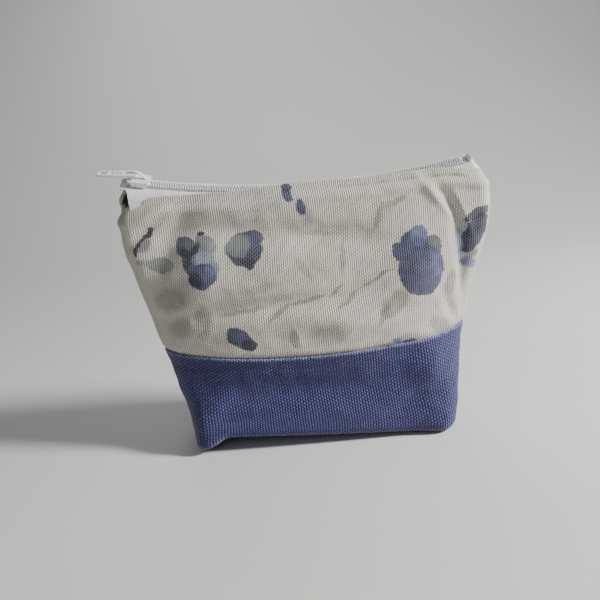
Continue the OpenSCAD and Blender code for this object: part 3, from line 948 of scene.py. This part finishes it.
def add_box(name, size, at):
    bpy.ops.object.select_all(action="DESELECT")
    bpy.ops.mesh.primitive_cube_add(size=1, location=(0, 0, 0))
    obj = bpy.context.object
    obj.name = obj.data.name = name
    size = Matrix.Diagonal((*[v * MM for v in size], 1))
    obj.data.transform(Matrix.Translation(Vector(at) * MM) @ size)
    return obj


def bevel_where(obj, test, offset, segments):
    """Bevels the edges whose two ends pass test, given in mm."""
    only(obj)
    mode("EDIT")
    bpy.ops.mesh.select_mode(type="EDGE")
    bpy.ops.mesh.select_all(action="DESELECT")
    mode("OBJECT")
    for e in obj.data.edges:
        a, b = (obj.data.vertices[i].co / MM for i in e.vertices)
        e.select = bool(test(a, b))
    mode("EDIT")
    bpy.ops.mesh.bevel(offset=offset * MM, segments=segments, affect="EDGES", clamp_overlap=True)
    mode("OBJECT")


def soften(obj, width, segments=2, angle=40):
    modify(obj, "BEVEL", width=width * MM, segments=segments, limit_method="ANGLE",
           angle_limit=math.radians(angle))
    bpy.ops.object.shade_smooth_by_angle(angle=SMOOTH)


def combine(obj, other, operation):
    """Cuts other out of obj or joins it on, and removes it."""
    modify(obj, "BOOLEAN", operation=operation, object=other, solver="EXACT")
    bpy.data.objects.remove(other, do_unlink=True)


def cut(obj, tool):
    combine(obj, tool, "DIFFERENCE")


def weld(obj, other):
    combine(obj, other, "UNION")


def coat(obj, material):
    """Gives all of obj one material and smooth shading."""
    obj.data.materials.clear()
    obj.data.materials.append(material)
    only(obj)
    bpy.ops.object.shade_smooth_by_angle(angle=SMOOTH)


def vertical(a, b):
    return abs(a.x - b.x) < 0.01 and abs(a.y - b.y) < 0.01


def plate(name, x0, x1, nose, tail, z, thick):
    obj = add_box(name, (x1 - x0, nose, thick), ((x0 + x1) / 2, 0, z + thick / 2))
    only(obj)
    mode("EDIT")
    bpy.ops.mesh.select_all(action="DESELECT")
    mode("OBJECT")
    for v in obj.data.vertices:
        v.select = v.co.x > (x0 + x1) / 2 * MM
    mode("EDIT")
    bpy.ops.transform.resize(value=(1, tail / nose, 1), center_override=(0, 0, 0))
    mode("OBJECT")
    bevel_where(obj, lambda a, b: vertical(a, b) and (a.x + b.x) / 2 < (x0 + x1) / 2, 2.0, 6)
    bevel_where(obj, lambda a, b: vertical(a, b) and (a.x + b.x) / 2 > (x0 + x1) / 2 + 1
                and abs(a.y) > tail / 2 - 0.3, 1.2, 5)
    return obj


PLATE_T, UNDER_T = 1.0, 0.8
TOP_PLATE = COIL_H + 0.3
UNDER_PLATE = -TAPE_T - 0.3
CROWN_PATH = ((-3.5, 0.25), (-3.1, 0.35), (-2.72, 1.5), (-2.1, 2.55), (-1.1, 2.78), (-0.1, 2.62),
              (1.1, 1.9), (2.2, 0.75), (2.9, 0.3))


def slider_mesh(material):
    body = plate("slider_casting", -4.5, 4.5, 7.2, 6.3, TOP_PLATE, PLATE_T)
    under = plate("under", -4.5, 4.5, 7.2, 6.3, UNDER_PLATE - UNDER_T, UNDER_T)
    soften(body, 0.28, 3)
    soften(under, 0.22, 3)
    post = (3, 0.2, TOP_PLATE - UNDER_PLATE + 0.3)
    weld(body, add_box("post", post, (-2.5, 0, (TOP_PLATE + UNDER_PLATE) / 2)))
    weld(body, under)
    for s in (-1, 1):
        rail = add_box("rail", (6.2, 0.4, TOP_PLATE - 0.1), (0.3, s * 2.92, 0.3 + (TOP_PLATE - 0.1) / 2))
        soften(rail, 0.12, 2)
        weld(body, rail)
    for x in (-3.35, 2.75):
        foot = add_box("foot", (1.2, 1.7, 0.5), (x, 0, TOP_PLATE + 1.1))
        soften(foot, 0.15, 2)
        weld(body, foot)
    coat(body, material)
    body.data.transform(zip_place(SLIDER_X))
    return body


def crown_mesh(material):
    """A bent strip of sheet metal: its middle line is drawn, given width and then thickness."""
    line = bpy.data.curves.new("crown", "CURVE")
    line.dimensions = "3D"
    spline = line.splines.new("NURBS")
    spline.points.add(len(CROWN_PATH) - 1)
    for p, (x, z) in zip(spline.points, CROWN_PATH):
        p.co = (x * MM, 0, (z + TOP_PLATE + PLATE_T) * MM, 1)
    spline.use_endpoint_u, spline.order_u, spline.resolution_u = True, 3, 5
    only(add_object("slider_crown_strip", line))
    bpy.ops.object.convert(target="MESH")
    obj = bpy.context.object
    mode("EDIT")
    bpy.ops.mesh.select_all(action="SELECT")
    bpy.ops.transform.translate(value=(0, -0.6 * MM, 0))
    bpy.ops.mesh.extrude_region_move(TRANSFORM_OT_translate={"value": (0, 1.2 * MM, 0)})
    mode("OBJECT")
    modify(obj, "SOLIDIFY", thickness=0.45 * MM, offset=0)
    mode("EDIT")
    bpy.ops.mesh.select_all(action="SELECT")
    bpy.ops.mesh.normals_make_consistent(inside=False)
    mode("OBJECT")
    soften(obj, 0.12, 2, 50)
    obj.data.materials.append(material)
    obj.data.transform(zip_place(SLIDER_X))
    return obj


PIVOT_X = -1.0
PIVOT_Z = TOP_PLATE + PLATE_T + 1.8
PULL_LENGTH = 15.3
PULL_DROOP = math.radians(7.5)


def slot_cutter(x0, x1, width, depth=4, z=0):
    tool = add_box("slot", (x1 - x0, width, depth), ((x0 + x1) / 2, 0, z))
    bevel_where(tool, vertical, width * 0.32, 4)
    return tool


def pull_mesh(material):
    pull = add_box("pull_tab_plate", (PULL_LENGTH + 0.5, 4.2, 0.8), (-(PULL_LENGTH - 0.5) / 2, 0, 0))
    only(pull)
    for v in pull.data.vertices:
        if v.co.x < -PULL_LENGTH * 0.5 * MM:
            v.co.y *= 3.3 / 4.2
    bevel_where(pull, lambda a, b: vertical(a, b) and a.x < -5, 1.3, 6)
    bevel_where(pull, lambda a, b: vertical(a, b) and a.x > -5, 0.5, 4)
    soften(pull, 0.22, 3)
    cut(pull, slot_cutter(-4.6, -0.55, 1.9))
    cut(pull, slot_cutter(-14.1, -11.0, 1.7))
    # A shallow pressed panel and the narrow slot next to the eye.
    cut(pull, slot_cutter(-7.9, -5.6, 0.55))
    for x in (-5.75, -7.75):
        cut(pull, slot_cutter(x - 0.25, x + 0.25, 1.7))
    for z in (0.4, -0.4):
        cut(pull, slot_cutter(-10.4, -8.5, 1.9, 0.36, z))
    soften(pull, 0.06, 2, 50)
    coat(pull, material)
    pull.data.transform(zip_place(SLIDER_X) @ Matrix.Translation((PIVOT_X * MM, 0, PIVOT_Z * MM))
                        @ Matrix.Rotation(-PULL_DROOP, 4, "Y"))
    return pull


def finish_stop(stop, bevel, x, node):
    """Rounds a stop's block and clamps it on the zip at x."""
    soften(stop, bevel, 3)
    stop.data.materials.append(made("Satin aluminium", aluminium_material))
    stop.data.transform(zip_place(x))
    finish_piece(stop, "pouch", "stop", node)


# ---------------------------------------------------------------- operators


class PouchOperator(bpy.types.Operator):
    bl_options = {"REGISTER", "UNDO"}

    def execute(self, context):
        self.make(context)
        return {"FINISHED"}


class POUCH_OT_walls(PouchOperator):
    """Make the printed canvas walls with their turned edges"""

    bl_idname = "pouch.walls"
    bl_label = "Canvas Walls"

    def make(self, context):
        t = sizes().canvas_thickness
        for side, word in HALVES:
            rows, uvs = walls(side)
            # The back has the same print, moved along by 27 mm and mirrored.
            shift, flip = (0, 1) if side == FRONT else (27, -1)
            material = canvas_material(f"Printed canvas {word}", shift, flip)
            obj = cloth_piece(f"{word}_canvas", rows, uvs, t, material, side)
            finish_piece(obj, "pouch", "canvas", f"{word}_panel")


class POUCH_OT_band(PouchOperator):
    """Make the plain base band, which turns under as the floor"""

    bl_idname = "pouch.band"
    bl_label = "Base Band"

    def make(self, context):
        material = band_material()
        for side, word in HALVES:
            rows, uvs = band_rows(side)
            obj = cloth_piece(f"{word}_band", rows, uvs, sizes().canvas_thickness, material, side)
            finish_piece(obj, "pouch", "band", f"{word}_base_band")


class POUCH_OT_linings(PouchOperator):
    """Make the fleece interlining and the lining"""

    bl_idname = "pouch.linings"
    bl_label = "Interlining and Lining"

    def make(self, context):
        felt = felt_material()
        cloth = fine_cloth("Lining cotton", tuple(colours().lining), 0.0005, 0.0001)
        for side, word in HALVES:
            rows, uvs = inner_rows(side, inset=2.2, drop=15)
            obj = cloth_piece(f"{word}_fleece", rows, uvs, FLEECE_T, felt, side)
            finish_piece(obj, "pouch", "fleece", f"{word}_interlining")
            rows, uvs = inner_rows(side, inset=3.8, drop=9)
            obj = cloth_piece(f"{word}_lining_cotton", rows, uvs, LINING_T, cloth, side)
            finish_piece(obj, "pouch", "lining", f"{word}_lining")


class POUCH_OT_zip(PouchOperator):
    """Make the zip's tapes, coils, stitching and stops"""

    bl_idname = "pouch.zip"
    bl_label = "Zip"

    def make(self, context):
        for side, word in HALVES:
            finish_piece(tape(side, word), "pouch", "zip_tape", f"{word}_zip_tape")
            finish_piece(coil(side, word), "pouch", "zip_coil", f"{word}_zip_coil")

            def beside(x, rise, side=side):
                return on_arc(x, *rolled(side * 2.3, 0.14 + rise))

            end = CHAIN_END - 0.4
            sew(f"{word}_coil_sewing", f"{word}_coil_stitching", beside, -end, end, 1.25, 0.15)
            stop = add_box(f"{word}_upper_stop", (1.4, 1.4, 0.8), (0, side * 1.4, 0.5))
            finish_stop(stop, 0.25, TOP_STOP_X, f"{word}_top_stop")
        stop = add_box("lower_stop", (1.4, 4.4, 1.1), (0, 0, 0.65))
        finish_stop(stop, 0.3, BOTTOM_STOP_X, "bottom_stop")


class POUCH_OT_seams(PouchOperator):
    """Make the sewing of the seams between the layers"""

    bl_idname = "pouch.seams"
    bl_label = "Seam Sewing"

    def make(self, context):
        for side, word in HALVES:
            back = -6.77 if side == FRONT else 6.68

            def zip_seam(x, rise, back=back):
                return on_arc(x, back, -6.9)

            sew(f"{word}_zip_sewing", f"{word}_zip_seam_thread", zip_seam, -52, 52, 2.5, 0.12)

            def band_seam(x, rise, side=side):
                return on_cloth(side, x, BAND_Z, 3.4)

            sew(f"{word}_band_sewing", f"{word}_band_seam_thread", band_seam, -50, 50, 2.5, 0.18)
        for s, word in ((-1, "left"), (1, "right")):
            edge = left_x if s < 0 else right_x

            def side_seam(z, rise, s=s, edge=edge):
                return (float(edge(z)) - s * 4.5, 0.0, z)

            sew(f"{word}_side_sewing", f"{word}_side_seam_thread", side_seam, 8, 88, 2.5, 0.18)

        def floor_seam(x, rise):
            return (x, 0.0, 3.4)

        sew("floor_sewing", "bottom_seam_thread", floor_seam, -26, 26, 2.5, 0.18)


class POUCH_OT_slider(PouchOperator):
    """Make the slider, its crown and the pull tab"""

    bl_idname = "pouch.slider"
    bl_label = "Slider and Pull"

    def make(self, context):
        enamel = made("White enamel on zinc", enamel_material)
        finish_piece(slider_mesh(enamel), "slider", "slider", "slider_body")
        finish_piece(crown_mesh(enamel), "slider", "slider", "slider_crown")
        finish_piece(pull_mesh(enamel), "pull", "slider", "pull_tab")


class POUCH_OT_stage(PouchOperator):
    """Make the floor, the lights and the camera"""

    bl_idname = "pouch.stage"
    bl_label = "Floor, Lights and Camera"

    def make(self, context):
        bpy.ops.object.select_all(action="DESELECT")
        # A pale sweep: a level floor that curves up far behind.
        profile = [(-2.0, 0.0), (0.40, 0.0)]
        for a in np.radians(np.linspace(3, 90, 30)):
            profile.append((0.40 + 0.6 * math.sin(a), 0.6 - 0.6 * math.cos(a)))
        profile += [(1.0, 2.5)]
        mesh = bpy.data.meshes.new("floor")
        n = len(profile)
        mesh.from_pydata([(x, y, z) for x in (-3, 3) for y, z in profile], [],
                         [(i, n + i, n + i + 1, i + 1) for i in range(n - 1)])
        mesh.shade_smooth()
        m = Nodes("Pale floor")
        base = m.mix(m.noise(m.place(), 6, 2), (0.66, 0.655, 0.64), (0.70, 0.695, 0.68))
        floor = add_object("floor", mesh, m.surface(Base_Color=base, Roughness=0.6))
        world = bpy.data.worlds.new("Studio")
        context.scene.world = world
        world.use_nodes = True
        sky = world.node_tree.nodes["Background"]
        sky.inputs["Color"].default_value = (0.80, 0.82, 0.86, 1)
        sky.inputs["Strength"].default_value = 0.14
        middle = Vector((0, 0, 0.05))
        for name, at, size, power in (("key", (0.70, -0.17, 0.46), 0.16, 14.5),
                                      ("fill", (-0.2, -1.0, 0.7), 0.8, 1.2),
                                      ("back", (-0.1, 0.8, 0.7), 0.6, 1.8)):
            data = bpy.data.lights.new(name, "AREA")
            data.shape, data.size, data.energy = "DISK", size, power
            lamp = add_object(name, data)
            lamp.location = at
            lamp.rotation_euler = (middle - Vector(at)).to_track_quat("-Z", "Y").to_euler()
        data = bpy.data.cameras.new("camera")
        data.lens = 37.8
        data.clip_start, data.clip_end = 0.01, 20
        cam = add_object("camera", data)
        yaw, pitch, roll = math.radians(3.2), math.radians(14), math.radians(-3.9)
        ahead = Vector((math.sin(yaw) * math.cos(pitch), math.cos(yaw) * math.cos(pitch), -math.sin(pitch)))
        level = Vector((math.cos(yaw), -math.sin(yaw), 0))
        up = level.cross(ahead)
        across = level * math.cos(roll) + up * math.sin(roll)
        up = up * math.cos(roll) - level * math.sin(roll)
        away, leftwards, upwards = 0.2638, 0.0045, 0.0048
        at = middle - ahead * away - across * leftwards + up * upwards
        cam.matrix_world = Matrix.Translation(at) @ Matrix((across, up, -ahead)).transposed().to_4x4()
        context.scene.camera = cam


STEPS = (POUCH_OT_walls, POUCH_OT_band, POUCH_OT_linings, POUCH_OT_zip, POUCH_OT_seams,
         POUCH_OT_slider, POUCH_OT_stage)


class POUCH_PT_sidebar(bpy.types.Panel):
    bl_label = "Pouch"
    bl_idname = "POUCH_PT_sidebar"
    bl_space_type = "VIEW_3D"
    bl_region_type = "UI"
    bl_category = "Pouch"

    def draw(self, context):
        for step in STEPS:
            self.layout.operator(step.bl_idname)
        for group in (context.scene.pouch_sizes, context.scene.pouch_colours):
            box = self.layout.box()
            for key in group.__annotations__:
                box.prop(group, key)


CLASSES = (PouchSizes, PouchColours, *STEPS, POUCH_PT_sidebar)


def register():
    for cls in CLASSES:
        bpy.utils.register_class(cls)
    bpy.types.Scene.pouch_sizes = PointerProperty(type=PouchSizes)
    bpy.types.Scene.pouch_colours = PointerProperty(type=PouchColours)


def unregister():
    del bpy.types.Scene.pouch_colours
    del bpy.types.Scene.pouch_sizes
    for cls in reversed(CLASSES):
        bpy.utils.unregister_class(cls)


def main():
    register()
    for step in STEPS:
        group, name = step.bl_idname.split(".")
        getattr(getattr(bpy.ops, group), name)()


if __name__ == "__main__":
    main()
